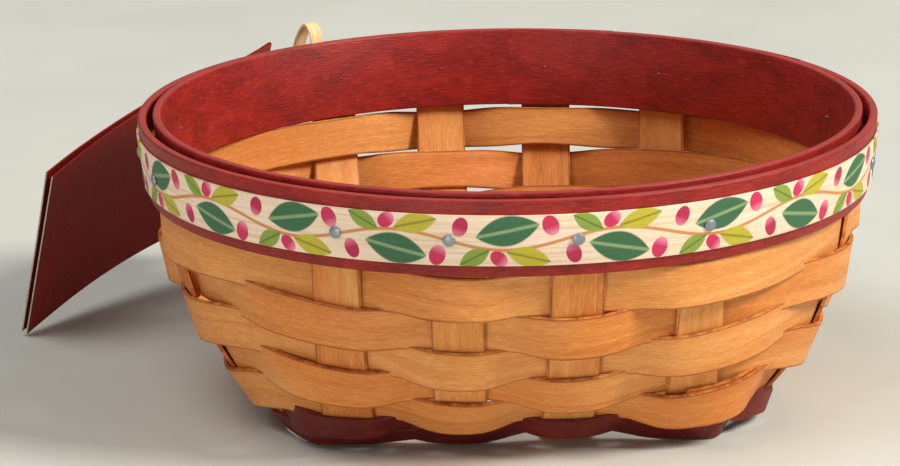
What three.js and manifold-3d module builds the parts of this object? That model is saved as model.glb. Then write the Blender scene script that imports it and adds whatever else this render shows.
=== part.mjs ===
// Berry basket: seven long splints woven into an oblong base and bent up as fourteen uprights,
// five wide and two narrow rows of weavers, two nailed bands with a trim strip, and a folded tag on a lace.
// Millimetres, +Z up, the front towards -Y, standing on z = 0.
import * as THREE from 'three';
import Module from 'manifold-3d';

const wasm = await Module();
wasm.setup();

// Driving sizes
const rimRadius = 89.6;
const totalHeight = 70.1;
const bandHeight = 18.5;
const innerRise = 0.9;
const bandThickness = 2.1;
const bandTaper = THREE.MathUtils.degToRad(7);
const baseHalfWidth = 51.2;
const baseHalfDepth = 44.3;
const frontPitch = 26;
const sidePitch = 26;
const stakeWidth = 12.5;
const stakeThickness = 0.9;
const wideWidth = 9.2;
const wideCornerWidth = 8;
const narrowWidth = 5.2;
const narrowCornerWidth = 4.4;
const weaverThickness = 0.8;
const betweenTrim = 0.8;
const footRise = 5;
const narrowPitch = 5.1;
const trimWidth = 12.2;
const trimThickness = 0.65;
const trimDrop = 3.4;
const bradHeadRadius = 1.5;
const bradShankRadius = 0.8;
const bradDrop = 9;
const stakeDrop = 5.5;
const cardLength = 89;
const cardWidth = 51;
const cardThickness = 0.4;
const laceWidth = 3.5;
const laceThickness = 0.6;

// Clearances
const fit = 0.35;
const crossingFit = 0.3;
const glueLine = 0.1;
const shankFit = 0.25;
const weaveFit = 0.45;
const bandClear = 1.6;
const rowGap = 0.8;

// Shape of the wall
const frontLean = THREE.MathUtils.degToRad(42);
const sideLean = THREE.MathUtils.degToRad(70);
const cornerLean = THREE.MathUtils.degToRad(36);
const weaverTilt = THREE.MathUtils.degToRad(5);
const flareTilt = THREE.MathUtils.degToRad(10);
const skirtTilt = THREE.MathUtils.degToRad(22);
const frontStep = 20;
const sideStep = 15;
const hoopStep = 5;
const thirdShift = 1.3;
const wideRows = 5;
const rowCount = 7;

// Sizes that follow
const bandFoot = totalHeight - bandHeight;
const bandGap = stakeThickness + 2 * fit;
const stakeRimRadius = rimRadius - bandThickness - bandGap / 2;
const stakeFootRadius = stakeRimRadius - bandHeight * Math.tan(bandTaper);
const crossingLift = (stakeThickness + crossingFit) / 2;
const baseLevel = crossingLift + stakeThickness / 2;
const halfStack = (stakeThickness + weaverThickness) / 2 + weaveFit;
const lapStep = weaverThickness + fit;

const colours = {
  naturalMaple: 0xd9a163,
  stainedMaple: 0x7a2029,
  printedTrim: 0xf0e2cb,
  steel: 0x8a93a0,
  card: 0x58161a,
  lace: 0xefcf9f,
};

const basket = new THREE.Group();
basket.name = 'berry_basket';

const vec = (x, y, z) => new THREE.Vector3(x, y, z);

// Joins closed rings of points into one solid with flat ends; each ring runs round the path's direction.
function sweep(rings) {
  const size = rings[0].length;
  const positions = rings.flat().flatMap((p) => [p.x, p.y, p.z]);
  const faces = [];
  for (let i = 0; i + 1 < rings.length; i += 1) {
    for (let k = 0; k < size; k += 1) {
      const a = i * size + k;
      const b = i * size + (k + 1) % size;
      faces.push(a, b, b + size, a, b + size, a + size);
    }
  }
  const last = (rings.length - 1) * size;
  for (let k = 1; k + 1 < size; k += 1) {
    faces.push(0, k + 1, k);
    faces.push(last, last + k, last + k + 1);
  }
  const geometry = new THREE.BufferGeometry();
  geometry.setAttribute('position', new THREE.Float32BufferAttribute(positions, 3));
  geometry.setIndex(faces);
  return geometry;
}

// A flat strip: width along across, thickness along normal, and across x normal runs along the strip.
function stripRing(centre, across, normal, width, thickness) {
  const corner = (i, j) => centre.clone()
    .addScaledVector(across, i * width / 2)
    .addScaledVector(normal, j * thickness / 2);
  return [corner(-1, -1), corner(1, -1), corner(1, 1), corner(-1, 1)];
}

function toManifold(geometry) {
  const mesh = new wasm.Mesh({
    numProp: 3,
    vertProperties: new Float32Array(geometry.attributes.position.array),
    triVerts: new Uint32Array(geometry.index.array),
  });
  return new wasm.Manifold(mesh);
}

function fromManifold(solid) {
  const mesh = solid.getMesh();
  const geometry = new THREE.BufferGeometry();
  geometry.setAttribute('position', new THREE.BufferAttribute(new Float32Array(mesh.vertProperties), 3));
  geometry.setIndex(new THREE.BufferAttribute(new Uint32Array(mesh.triVerts), 1));
  return geometry;
}

function cut(geometry, tools) {
  return fromManifold(tools.reduce((solid, tool) => solid.subtract(tool), toManifold(geometry)));
}

function addPart(name, geometry, colour, metalness = 0) {
  geometry.computeVertexNormals();
  const material = new THREE.MeshStandardMaterial({ color: colour, roughness: 0.7, metalness });
  const mesh = new THREE.Mesh(geometry, material);
  mesh.name = name;
  basket.add(mesh);
}

// The wall: an oblong foot edge that passes into the round band, at an angle in degrees from the front
const angleOf = (theta) => THREE.MathUtils.degToRad(theta);
const frontReach = (1.5 + 0.4 * stakeWidth / frontPitch) * frontStep;
const sideReach = (1 + 0.4 * stakeWidth / sidePitch) * sideStep;

// How far an angle is past the nearest middle of the front or back, and past the start of the corner.
function cornerTurn(theta) {
  const turn = Math.abs(theta - 180 * Math.round(theta / 180));
  return THREE.MathUtils.clamp((turn - frontReach) / (90 - sideReach - frontReach), 0, 1);
}

function footPoint(theta) {
  const quarter = Math.round(theta / 180);
  const local = theta - 180 * quarter;
  const facing = quarter % 2 === 0 ? 1 : -1;
  const side = Math.sign(local);
  const turn = Math.abs(local);
  const frontX = frontPitch / frontStep;
  const sideY = sidePitch / sideStep;
  if (turn <= frontReach) {
    return vec(facing * frontX * local, -facing * baseHalfDepth, 0);
  }
  if (turn >= 90 - sideReach) {
    return vec(facing * side * baseHalfWidth, facing * sideY * (turn - 90), 0);
  }
  const q = cornerTurn(theta);
  const start = vec(frontX * frontReach, -baseHalfDepth, 0);
  const corner = vec(baseHalfWidth, -baseHalfDepth, 0);
  const end = vec(baseHalfWidth, -sideY * sideReach, 0);
  const point = start.multiplyScalar((1 - q) ** 2)
    .addScaledVector(corner, 2 * q * (1 - q))
    .addScaledVector(end, q ** 2);
  return vec(facing * side * point.x, facing * point.y, 0);
}

function ringPoint(theta, radius, z) {
  return vec(radius * Math.sin(angleOf(theta)), -radius * Math.cos(angleOf(theta)), z);
}

// 0 along the flat sides and 1 at the middle of a corner.
function cornerShare(theta) {
  return Math.sin(Math.PI * cornerTurn(theta)) ** 2;
}

// How much the wall bulges: least at the corners, some along the front and most at the two sides.
function footLean(theta) {
  const flat = THREE.MathUtils.lerp(frontLean, sideLean, THREE.MathUtils.smoothstep(cornerTurn(theta), 0, 1));
  return THREE.MathUtils.lerp(flat, cornerLean, cornerShare(theta));
}

// A point of the wall's middle surface, at a share of the way up from the foot edge to the bands.
function slopePoint(theta, share) {
  const foot = footLean(theta);
  const lean = foot + (bandTaper - foot) * share;
  const out = (Math.cos(lean) - Math.cos(foot)) / (Math.cos(bandTaper) - Math.cos(foot));
  const rise = (Math.sin(foot) - Math.sin(lean)) / (Math.sin(foot) - Math.sin(bandTaper));
  const point = footPoint(theta).lerp(ringPoint(theta, stakeFootRadius, 0), out);
  point.z = baseLevel + (bandFoot - baseLevel) * rise;
  return point;
}

// Lengths up the slope at one angle, summed over equal steps of the share.
const slopeSteps = 16;

function slopeLengths(theta) {
  const lengths = [0];
  for (let i = 0; i < slopeSteps; i += 1) {
    const step = slopePoint(theta, i / slopeSteps).distanceTo(slopePoint(theta, (i + 1) / slopeSteps));
    lengths.push(lengths[i] + step);
  }
  return lengths;
}

// Distances are counted up the middle of the front, and draw together where the slope is shorter.
const wallLength = slopeLengths(0)[slopeSteps];

function wallPoint(theta, distance) {
  const lengths = slopeLengths(theta);
  const target = lengths[slopeSteps] * Math.min(distance / wallLength, 1);
  const found = lengths.findIndex((length, i) => i > 0 && length >= target);
  const step = found < 1 ? slopeSteps : found;
  const part = (target - lengths[step - 1]) / (lengths[step] - lengths[step - 1]);
  const above = Math.max(distance - wallLength, 0);
  const beyond = ringPoint(theta, above * Math.sin(bandTaper), above * Math.cos(bandTaper));
  return slopePoint(theta, (step - 1 + part) / slopeSteps).add(beyond);
}

const firstRow = wallLength - wideWidth / 2 - bandClear;
const lastWideRow = footRise + narrowPitch + (narrowWidth + wideWidth) / 2 - betweenTrim + rowGap;
const widePitch = (firstRow - lastWideRow) / (wideRows - 1);

function rowDistance(row) {
  return row <= wideRows ? firstRow - (row - 1) * widePitch : footRise + (rowCount - row) * narrowPitch;
}

function wallFrame(theta, distance) {
  const small = 0.05;
  const round = wallPoint(theta + small, distance).sub(wallPoint(theta - small, distance)).normalize();
  const slope = wallPoint(theta, distance + small).sub(wallPoint(theta, distance - small));
  const outward = round.clone().cross(slope).normalize();
  const up = outward.clone().cross(round);
  return { centre: wallPoint(theta, distance), round, outward, up };
}

// A flat-topped wave that is 1 over one crossing and -1 over the next.
function weave(phase) {
  return THREE.MathUtils.clamp(1.6 * Math.cos(Math.PI * phase), -1, 1);
}

// Uprights, numbered round from the front left: four in front, three right, four behind, three left
const frontAngles = [-1.5 * frontStep, -0.5 * frontStep, 0.5 * frontStep - thirdShift, 1.5 * frontStep];
const sideAngles = [90 - sideStep, 90, 90 + sideStep];
const uprightAngles = [
  ...frontAngles,
  ...sideAngles,
  ...frontAngles.map((angle) => 180 - angle).reverse(),
  ...sideAngles.map((angle) => angle + 180),
];
const uprightCount = uprightAngles.length;

function uprightAngle(place) {
  const lower = Math.floor(place);
  const at = (k) => uprightAngles[k % uprightCount] + 360 * Math.floor(k / uprightCount);
  return THREE.MathUtils.lerp(at(lower), at(lower + 1), place - lower);
}

// Brads: a domed head outside the trim, a shank through every layer and a point just inside
const bradHeight = totalHeight - bradDrop;
const bradRadius = stakeRimRadius - bradDrop * Math.tan(bandTaper);
const outerFace = bandGap / 2 + bandThickness + glueLine + trimThickness;
const innerFace = bandGap / 2 + bandThickness;

function placed(geometry, theta) {
  const outward = ringPoint(theta, Math.cos(bandTaper), -Math.sin(bandTaper));
  const turn = new THREE.Quaternion().setFromUnitVectors(vec(0, 1, 0), outward);
  return geometry.applyQuaternion(turn).translate(...ringPoint(theta, bradRadius, bradHeight).toArray());
}

function bradHole(theta) {
  const radius = bradShankRadius + shankFit;
  const geometry = new THREE.CylinderGeometry(radius, radius, 4 * outerFace, 6);
  return toManifold(joined(placed(geometry, theta)));
}

// Merges the seam and cap vertices of a turned shape into one closed skin.
function joined(geometry) {
  const keys = new Map();
  const positions = [];
  const source = geometry.attributes.position;
  const index = [];
  for (let i = 0; i < source.count; i += 1) {
    const p = [source.getX(i), source.getY(i), source.getZ(i)];
    const key = p.map((c) => Math.round(c * 1e4)).join(' ');
    if (!keys.has(key)) {
      keys.set(key, positions.length / 3);
      positions.push(...p);
    }
    index.push(keys.get(key));
  }
  const faces = [];
  for (let i = 0; i < geometry.index.count; i += 3) {
    const [a, b, c] = [0, 1, 2].map((k) => index[geometry.index.getX(i + k)]);
    if (a !== b && b !== c && c !== a) {
      faces.push(a, b, c);
    }
  }
  const clean = new THREE.BufferGeometry();
  clean.setAttribute('position', new THREE.Float32BufferAttribute(positions, 3));
  clean.setIndex(faces);
  return clean;
}

// The brads were set by eye, so some stand a little beside the middle of their upright.
const bradAngles = [...uprightAngles];
bradAngles[0] += 1.8;
bradAngles[1] -= 0.7;
bradAngles[2] -= 0.5;
bradAngles[3] -= 1;
bradAngles[10] -= 1;
bradAngles[13] += 3;
bradAngles.forEach((theta, i) => {
  const seat = outerFace + glueLine;
  const outline = [
    [0, -innerFace - 1.1],
    [bradShankRadius, -innerFace],
    [bradShankRadius, seat],
    [bradHeadRadius, seat],
    [bradHeadRadius, seat + 0.3],
    [0, seat + 0.7],
  ].map(([x, y]) => new THREE.Vector2(x, y));
  const geometry = joined(placed(new THREE.LatheGeometry(outline, 8), theta));
  addPart(`brad_${String(i + 1).padStart(2, '0')}`, geometry, colours.steel, 0.8);
});

// Long splints: down one side, across the woven base and up the other side
const stakeTop = wallLength + (bandHeight - stakeDrop) / Math.cos(bandTaper);
const wallSteps = 9;

function stakeSide(theta, flip) {
  const distances = [];
  for (let i = 0; i <= wallSteps; i += 1) {
    distances.push(wallLength * i / wallSteps);
  }
  distances.push(wallLength + bandHeight / 2, stakeTop);
  return distances.map((distance) => {
    const { centre, round, outward } = wallFrame(theta, distance);
    return stripRing(centre, round.multiplyScalar(flip), outward, stakeWidth, stakeThickness);
  });
}

function addStake(name, [from, to], along, across, { half, offset, pitch, lift }) {
  const baseRings = [];
  const steps = 20;
  const reach = half - 3;
  for (let i = 0; i <= steps; i += 1) {
    const run = -reach + 2 * reach * i / steps;
    const centre = along.clone().multiplyScalar(run).addScaledVector(across, offset);
    centre.z = baseLevel + crossingLift * lift(run / pitch);
    baseRings.push(stripRing(centre, across, vec(0, 0, -1), stakeWidth, stakeThickness));
  }
  const rings = [
    ...stakeSide(uprightAngles[from], 1).reverse(),
    ...baseRings,
    ...stakeSide(uprightAngles[to], -1),
  ];
  const holes = [from, to].map((k) => bradHole(bradAngles[k]));
  addPart(name, cut(sweep(rings), holes), colours.naturalMaple);
}

frontAngles.forEach((theta, i) => {
  const sign = i % 2 === 0 ? 1 : -1;
  const lift = (place) => (Math.abs(place) < 1.5 ? sign * weave(place) : 0);
  const lie = { half: baseHalfDepth, offset: theta * frontPitch / frontStep, pitch: sidePitch, lift };
  addStake(`stake_front_back_${i + 1}`, [i, 10 - i], vec(0, 1, 0), vec(1, 0, 0), lie);
});
sideAngles.forEach((_, j) => {
  const sign = j % 2 === 0 ? 1 : -1;
  const lift = (place) => sign * weave(place + 0.5);
  const lie = { half: baseHalfWidth, offset: (j - 1) * sidePitch, pitch: frontPitch, lift };
  addStake(`stake_side_side_${j + 1}`, [4 + j, 13 - j], vec(-1, 0, 0), vec(0, 1, 0), lie);
});

// Weavers: each row starts and stops behind an upright with its ends lapped over two spaces.
// Where a strip passes outside an upright its lower edge flares out over the row below,
// and between uprights it draws in a little beside its neighbours.
function weaverRing(place, row, wave, lap, trim = 0) {
  const wide = row <= wideRows;
  const flatWidth = wide ? wideWidth : narrowWidth;
  const cornerWidth = wide ? wideCornerWidth : narrowCornerWidth;
  const theta = uprightAngle(place);
  const { centre, outward, up } = wallFrame(theta, rowDistance(row) - trim / 2);
  const full = THREE.MathUtils.lerp(flatWidth, cornerWidth, Math.sqrt(cornerShare(theta)));
  const breadth = full - betweenTrim * (1 - Math.abs(wave)) - trim;
  const flare = wide ? flareTilt : skirtTilt;
  const tilt = weaverTilt + (row < rowCount ? Math.max(wave, 0) * flare : 0);
  const offset = wave * (halfStack + flatWidth * Math.sin(tilt) / 2) + lap;
  const width = up.clone().multiplyScalar(Math.cos(tilt)).addScaledVector(outward, -Math.sin(tilt));
  const face = outward.clone().multiplyScalar(Math.cos(tilt)).addScaledVector(up, Math.sin(tilt));
  return stripRing(centre.addScaledVector(outward, offset), width, face, breadth, weaverThickness);
}

const cornerSpaces = [3, 6, 10, 13];
const sideShares = [0, 0.25, 0.42, 0.58, 0.75];
const cornerShares = [0, 0.15, 0.3, 0.42, 0.58, 0.7, 0.85];

function weaverPlaces(start, end) {
  const places = [];
  for (let k = Math.floor(start); k <= Math.ceil(end); k += 1) {
    const shares = cornerSpaces.includes(k % uprightCount) ? cornerShares : sideShares;
    places.push(...shares.map((share) => k + share));
  }
  const inside = places.filter((place) => place > start + 0.05 && place < end - 0.05);
  return [start, ...inside, end];
}

const startUprights = [8, 11, 6, 9, 4, 7];
const lapSpaces = 2;
startUprights.forEach((upright, i) => {
  const row = i + 1;
  const start = upright - 0.15;
  const end = upright + uprightCount + lapSpaces + 0.15;
  const rings = weaverPlaces(start, end).map((place) => {
    const wave = -weave(place - upright);
    const headBlend = THREE.MathUtils.clamp(2 * (upright + lapSpaces + 0.75 - place), 0, 1);
    const tailBlend = THREE.MathUtils.clamp(2 * (place - upright - uprightCount + 0.75), 0, 1);
    const lap = (tailBlend * (1 + wave) - headBlend * (1 - wave)) * lapStep / 2;
    return weaverRing(place, row, wave, lap);
  });
  const colour = row <= wideRows ? colours.naturalMaple : colours.stainedMaple;
  addPart(`weaver_${row}`, sweep(rings), colour);
});

// The lowest row closes at the front left, where its trimmed tail stays outside the first upright.
const tailTrim = 1.1;
const lowestStart = -0.3;
const lowestEnd = uprightCount + 0.55;
const lowestRings = weaverPlaces(lowestStart + uprightCount, lowestEnd + uprightCount).map((place) => {
  const tail = THREE.MathUtils.clamp(4 * (place - 2 * uprightCount + 0.9), 0, 1);
  const wave = tail > 0 ? 1 : -weave(place);
  return weaverRing(place, rowCount, wave, 0, tail * tailTrim);
});
addPart(`weaver_${rowCount}`, sweep(lowestRings), colours.stainedMaple);

// Bands: hoops with scarfed ends
const scarfAngle = 19;
const scarfTip = 0.5;
const edgeRound = 0.5;

function bandRing(theta, outerTop, foot, height, inner, outer) {
  const fall = (z) => (totalHeight - z) * Math.tan(bandTaper);
  const point = (z, depth) => ringPoint(theta, outerTop - depth - fall(z), z);
  const top = foot + height;
  const soft = Math.min(edgeRound, (inner - outer) / 3);
  return [
    point(foot, inner),
    point(top - soft, inner),
    point(top, inner - soft),
    point(top, outer + soft),
    point(top - soft, outer),
    point(foot, outer),
  ];
}

function hoopAngles(start, end) {
  const angles = [];
  for (let theta = hoopStep * Math.ceil((start + 0.4) / hoopStep); theta < end - 0.4; theta += hoopStep) {
    angles.push(theta);
  }
  return angles;
}

function addBand(name, outerTop, tipAngle, rise) {
  const taper = bandThickness - scarfTip;
  const lap = (taper - scarfTip - fit) / taper;
  const close = tipAngle + 360;
  const headDepth = (theta) => scarfTip + taper * Math.min((theta - tipAngle) / scarfAngle, 1);
  const tailDepth = (theta) => scarfTip + taper * (theta - close) / scarfAngle + fit;
  const ring = (theta, inner, outer) => bandRing(theta, outerTop, bandFoot, bandHeight + rise, inner, outer);
  const head = [tipAngle, ...hoopAngles(tipAngle, close - 0.5)]
    .map((theta) => ring(theta, headDepth(theta), 0));
  const shoulder = [
    ring(close - 0.3, bandThickness, 0),
    ring(close - 0.25, bandThickness, tailDepth(close)),
  ];
  const tail = [...hoopAngles(close, close + lap * scarfAngle), close + lap * scarfAngle]
    .map((theta) => ring(theta, bandThickness, tailDepth(theta)));
  const hoop = sweep([...head, ...shoulder, ...tail]);
  addPart(name, cut(hoop, bradAngles.map(bradHole)), colours.stainedMaple);
}

addBand('outer_band', rimRadius, 122, 0);
addBand('inner_band', rimRadius - bandThickness - bandGap, 168.7, innerRise);

// Trim strip round the outer band, its ends meeting at the back right
const trimFoot = totalHeight - trimDrop - trimWidth;
const trimEnds = [130.2, 489.8];
const trimAngles = [trimEnds[0], ...hoopAngles(...trimEnds), trimEnds[1]];
const trimTop = rimRadius + glueLine + trimThickness;
const trimRings = trimAngles.map((theta) => {
  const fall = (z) => (totalHeight - z) * Math.tan(bandTaper);
  const point = (z, depth) => ringPoint(theta, trimTop - depth - fall(z), z);
  const head = trimFoot + trimWidth;
  return [point(trimFoot, trimThickness), point(head, trimThickness), point(head, 0), point(trimFoot, 0)];
});
addPart('trim_strip', cut(sweep(trimRings), bradAngles.map(bradHole)), colours.printedTrim);

// Hang tag: one card folded at its upper end, standing on a lower corner beside the basket
const cardCorner = vec(-121.9, 51.9, 0.8);
const cardAlong = vec(0.619, 0.766, 0.205).normalize();
const cardUp = vec(9.9, -18.6, 46.5);
cardUp.addScaledVector(cardAlong, -cardUp.dot(cardAlong)).normalize();
const cardOut = cardUp.clone().cross(cardAlong);
const cardMiddle = cardCorner.clone().addScaledVector(cardUp, cardWidth / 2);
const leafGap = 0.7;
const leafBow = 1.2;
const holeInset = 6;
const holeRadius = 2.4;

const cardPath = [];
const leafSteps = 6;
for (let i = 0; i <= leafSteps; i += 1) {
  const run = (cardLength - 1) * i / leafSteps;
  cardPath.push([run, -leafGap / 2]);
}
for (let i = 1; i < 4; i += 1) {
  const turn = Math.PI * i / 4;
  cardPath.push([cardLength - 1 + Math.sin(turn) * leafGap / 2, -Math.cos(turn) * leafGap / 2]);
}
for (let i = leafSteps; i >= 0; i -= 1) {
  const run = (cardLength - 1) * i / leafSteps;
  const open = Math.max(1 - run / (cardLength - 2 * holeInset), 0);
  cardPath.push([run, leafGap / 2 + leafBow * Math.sin(Math.PI * Math.min(open, 1) / 2)]);
}
const cardRings = cardPath.map(([run, out], i) => {
  const before = cardPath[Math.max(i - 1, 0)];
  const after = cardPath[Math.min(i + 1, cardPath.length - 1)];
  const heading = cardAlong.clone()
    .multiplyScalar(after[0] - before[0])
    .addScaledVector(cardOut, after[1] - before[1])
    .normalize();
  const face = heading.clone().cross(cardUp);
  const centre = cardMiddle.clone().addScaledVector(cardAlong, run).addScaledVector(cardOut, out);
  return stripRing(centre, cardUp, face, cardWidth, cardThickness);
});
const holeCentre = cardMiddle.clone().addScaledVector(cardAlong, cardLength - holeInset);
const holeTool = new THREE.CylinderGeometry(holeRadius, holeRadius, 12, 16);
holeTool.applyQuaternion(new THREE.Quaternion().setFromUnitVectors(vec(0, 1, 0), cardOut));
holeTool.translate(...holeCentre.toArray());
addPart('hang_tag', cut(sweep(cardRings), [toManifold(joined(holeTool))]), colours.card);

// Lace: tucked between the bands, over the outer band and through the card to a knot
const laceAngle = 212.3;
const laceTuck = 5;
const laceRise = 5;
const knotRadius = 3.4;
const gapRadius = (z) => stakeRimRadius - (totalHeight - z) * Math.tan(bandTaper);
const laceStops = [
  ringPoint(laceAngle, gapRadius(totalHeight - laceTuck), totalHeight - laceTuck),
  ringPoint(laceAngle, gapRadius(totalHeight - 2), totalHeight - 2),
  ringPoint(laceAngle, stakeRimRadius + 0.6, totalHeight + 0.6 * laceRise),
  ringPoint(laceAngle, stakeRimRadius + 3, totalHeight + laceRise),
  ringPoint(laceAngle, rimRadius + 4, totalHeight + 0.3 * laceRise),
  ringPoint(laceAngle, rimRadius + 9, totalHeight - 12),
  holeCentre.clone().addScaledVector(cardOut, -14),
  holeCentre.clone().addScaledVector(cardOut, -6),
  holeCentre.clone().addScaledVector(cardOut, -1.5),
  holeCentre.clone().addScaledVector(cardOut, knotRadius + 1.5),
];
const laceCurve = new THREE.CatmullRomCurve3(laceStops, false, 'centripetal');
const rimTangent = vec(Math.cos(angleOf(laceAngle)), Math.sin(angleOf(laceAngle)), 0);
const laceSteps = 30;
const laceRings = [];
for (let i = 0; i <= laceSteps; i += 1) {
  const share = i / laceSteps;
  const heading = laceCurve.getTangentAt(share);
  const across = rimTangent.clone().addScaledVector(heading, -rimTangent.dot(heading)).normalize();
  const face = heading.clone().cross(across);
  laceRings.push(stripRing(laceCurve.getPointAt(share), across, face, laceWidth, laceThickness));
}
const knot = new THREE.SphereGeometry(knotRadius, 10, 6);
knot.translate(...holeCentre.clone().addScaledVector(cardOut, knotRadius + 1.2).toArray());
const laceSolid = toManifold(sweep(laceRings)).add(toManifold(joined(knot)));
addPart('tag_lace', fromManifold(laceSolid), colours.lace);

export default basket;
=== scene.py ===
# Berry basket: woven maple splints, stained bands, a printed trim strip and a folded tag on a lace.
import math

import bpy
from mathutils import Matrix, Vector, geometry, noise


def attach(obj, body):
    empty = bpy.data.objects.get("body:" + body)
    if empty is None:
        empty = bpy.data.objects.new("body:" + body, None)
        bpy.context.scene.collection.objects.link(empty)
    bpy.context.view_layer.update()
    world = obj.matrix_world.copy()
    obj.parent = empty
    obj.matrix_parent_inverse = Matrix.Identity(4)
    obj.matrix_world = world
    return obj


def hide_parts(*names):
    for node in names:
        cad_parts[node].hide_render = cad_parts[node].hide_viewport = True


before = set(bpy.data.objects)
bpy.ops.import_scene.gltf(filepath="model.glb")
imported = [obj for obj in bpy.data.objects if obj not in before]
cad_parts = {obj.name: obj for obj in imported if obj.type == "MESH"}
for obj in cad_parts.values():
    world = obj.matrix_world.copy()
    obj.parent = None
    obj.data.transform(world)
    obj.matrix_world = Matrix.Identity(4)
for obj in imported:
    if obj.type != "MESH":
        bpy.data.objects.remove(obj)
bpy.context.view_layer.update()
MM = 0.001

# Sizes of the solids, in millimetres and degrees
RIM_RADIUS = 89.6
TOTAL_HEIGHT = 70.1
BAND_HEIGHT = 18.5
INNER_RISE = 0.9
BAND_THICKNESS = 2.1
BAND_TAPER = math.radians(7)
BAND_GAP = 1.6
BASE_HALF_WIDTH = 51.2
BASE_HALF_DEPTH = 44.3
FRONT_PITCH = 26.0
SIDE_PITCH = 26.0
STAKE_WIDTH = 12.5
STAKE_THICKNESS = 0.9
STAKE_DROP = 5.5
FRONT_LEAN = math.radians(42)
SIDE_LEAN = math.radians(70)
CORNER_LEAN = math.radians(36)
FRONT_STEP = 20.0
SIDE_STEP = 15.0
THIRD_SHIFT = 1.3
CROSSING_LIFT = 0.6
STRIP_EDGE = 0.16
BASE_LEVEL = CROSSING_LIFT + STAKE_THICKNESS / 2
BAND_FOOT = TOTAL_HEIGHT - BAND_HEIGHT
STAKE_RIM = RIM_RADIUS - BAND_THICKNESS - BAND_GAP / 2
STAKE_FOOT = STAKE_RIM - BAND_HEIGHT * math.tan(BAND_TAPER)


# Shape of the wall
def ring_point(theta, radius, z):
    turn = math.radians(theta)
    return Vector((radius * math.sin(turn), -radius * math.cos(turn), z))


# The straight sides of the foot end a share of a splint's width past the middle of the last upright
FLAT_SHARE = 0.4
FRONT_REACH = (1.5 + FLAT_SHARE * STAKE_WIDTH / FRONT_PITCH) * FRONT_STEP
SIDE_REACH = (1 + FLAT_SHARE * STAKE_WIDTH / SIDE_PITCH) * SIDE_STEP


def clamp(value, low=0.0, high=1.0):
    return min(max(value, low), high)


def corner_turn(theta):
    """0 along the front and back, 1 along the two sides, and between them round a corner."""
    turn = abs(theta - 180 * math.floor(theta / 180 + 0.5))
    return clamp((turn - FRONT_REACH) / (90 - SIDE_REACH - FRONT_REACH))


def corner_share(theta):
    """0 along the flat sides and 1 at the middle of a corner."""
    return math.sin(math.pi * corner_turn(theta)) ** 2


def foot_point(theta):
    """Foot edge of the wall: straight along each side, rounded at the corners."""
    half_turns = math.floor(theta / 180 + 0.5)
    local = theta - 180 * half_turns
    facing = 1 if half_turns % 2 == 0 else -1
    side = math.copysign(1, local)
    turn = abs(local)
    front_x = FRONT_PITCH / FRONT_STEP
    side_y = SIDE_PITCH / SIDE_STEP
    if turn <= FRONT_REACH:
        return Vector((facing * front_x * local, -facing * BASE_HALF_DEPTH, 0))
    if turn >= 90 - SIDE_REACH:
        return Vector((facing * side * BASE_HALF_WIDTH, facing * side_y * (turn - 90), 0))
    q = corner_turn(theta)
    start = Vector((front_x * FRONT_REACH, -BASE_HALF_DEPTH, 0))
    corner = Vector((BASE_HALF_WIDTH, -BASE_HALF_DEPTH, 0))
    end = Vector((BASE_HALF_WIDTH, -side_y * SIDE_REACH, 0))
    point = start * (1 - q) ** 2 + corner * (2 * q * (1 - q)) + end * q ** 2
    return Vector((facing * side * point.x, facing * point.y, 0))


def slope_point(theta, share):
    """A point of the wall's middle surface, at a share of the way up from the foot edge to the bands."""
    turn = corner_turn(theta)
    flat = FRONT_LEAN + (SIDE_LEAN - FRONT_LEAN) * turn * turn * (3 - 2 * turn)
    foot = flat + (CORNER_LEAN - flat) * corner_share(theta)
    lean = foot + (BAND_TAPER - foot) * share
    out = (math.cos(lean) - math.cos(foot)) / (math.cos(BAND_TAPER) - math.cos(foot))
    rise = (math.sin(foot) - math.sin(lean)) / (math.sin(foot) - math.sin(BAND_TAPER))
    point = foot_point(theta).lerp(ring_point(theta, STAKE_FOOT, 0), out)
    point.z = BASE_LEVEL + (BAND_FOOT - BASE_LEVEL) * rise
    return point


SLOPE_STEPS = 16


def slope_lengths(theta):
    """Lengths up the slope at one angle, summed over equal steps of the share."""
    points = [slope_point(theta, i / SLOPE_STEPS) for i in range(SLOPE_STEPS + 1)]
    lengths = [0.0]
    for a, b in zip(points, points[1:]):
        lengths.append(lengths[-1] + (b - a).length)
    return lengths


# Distances are counted up the middle of the front, and draw together where the slope is shorter
WALL_LENGTH = slope_lengths(0)[-1]


def wall_point(theta, distance):
    lengths = slope_lengths(theta)
    target = lengths[-1] * min(distance / WALL_LENGTH, 1)
    step = next((i for i in range(1, SLOPE_STEPS) if lengths[i] >= target), SLOPE_STEPS)
    part = (target - lengths[step - 1]) / (lengths[step] - lengths[step - 1])
    above = max(distance - WALL_LENGTH, 0)
    beyond = ring_point(theta, above * math.sin(BAND_TAPER), above * math.cos(BAND_TAPER))
    return slope_point(theta, (step - 1 + part) / SLOPE_STEPS) + beyond


def wall_frame(theta, distance):
    """A point of the wall with its directions round, outward and up the slope."""
    small = 0.05
    along = (wall_point(theta + small, distance) - wall_point(theta - small, distance)).normalized()
    slope = wall_point(theta, distance + small) - wall_point(theta, distance - small)
    outward = along.cross(slope).normalized()
    return wall_point(theta, distance), along, outward, outward.cross(along)


FRONT_ANGLES = [-1.5 * FRONT_STEP, -0.5 * FRONT_STEP, 0.5 * FRONT_STEP - THIRD_SHIFT, 1.5 * FRONT_STEP]
SIDE_ANGLES = [90 - SIDE_STEP, 90, 90 + SIDE_STEP]
BACK_ANGLES = [180 - angle for angle in reversed(FRONT_ANGLES)]
UPRIGHTS = [*FRONT_ANGLES, *SIDE_ANGLES, *BACK_ANGLES, *(angle + 180 for angle in SIDE_ANGLES)]
UPRIGHT_COUNT = len(UPRIGHTS)


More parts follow.
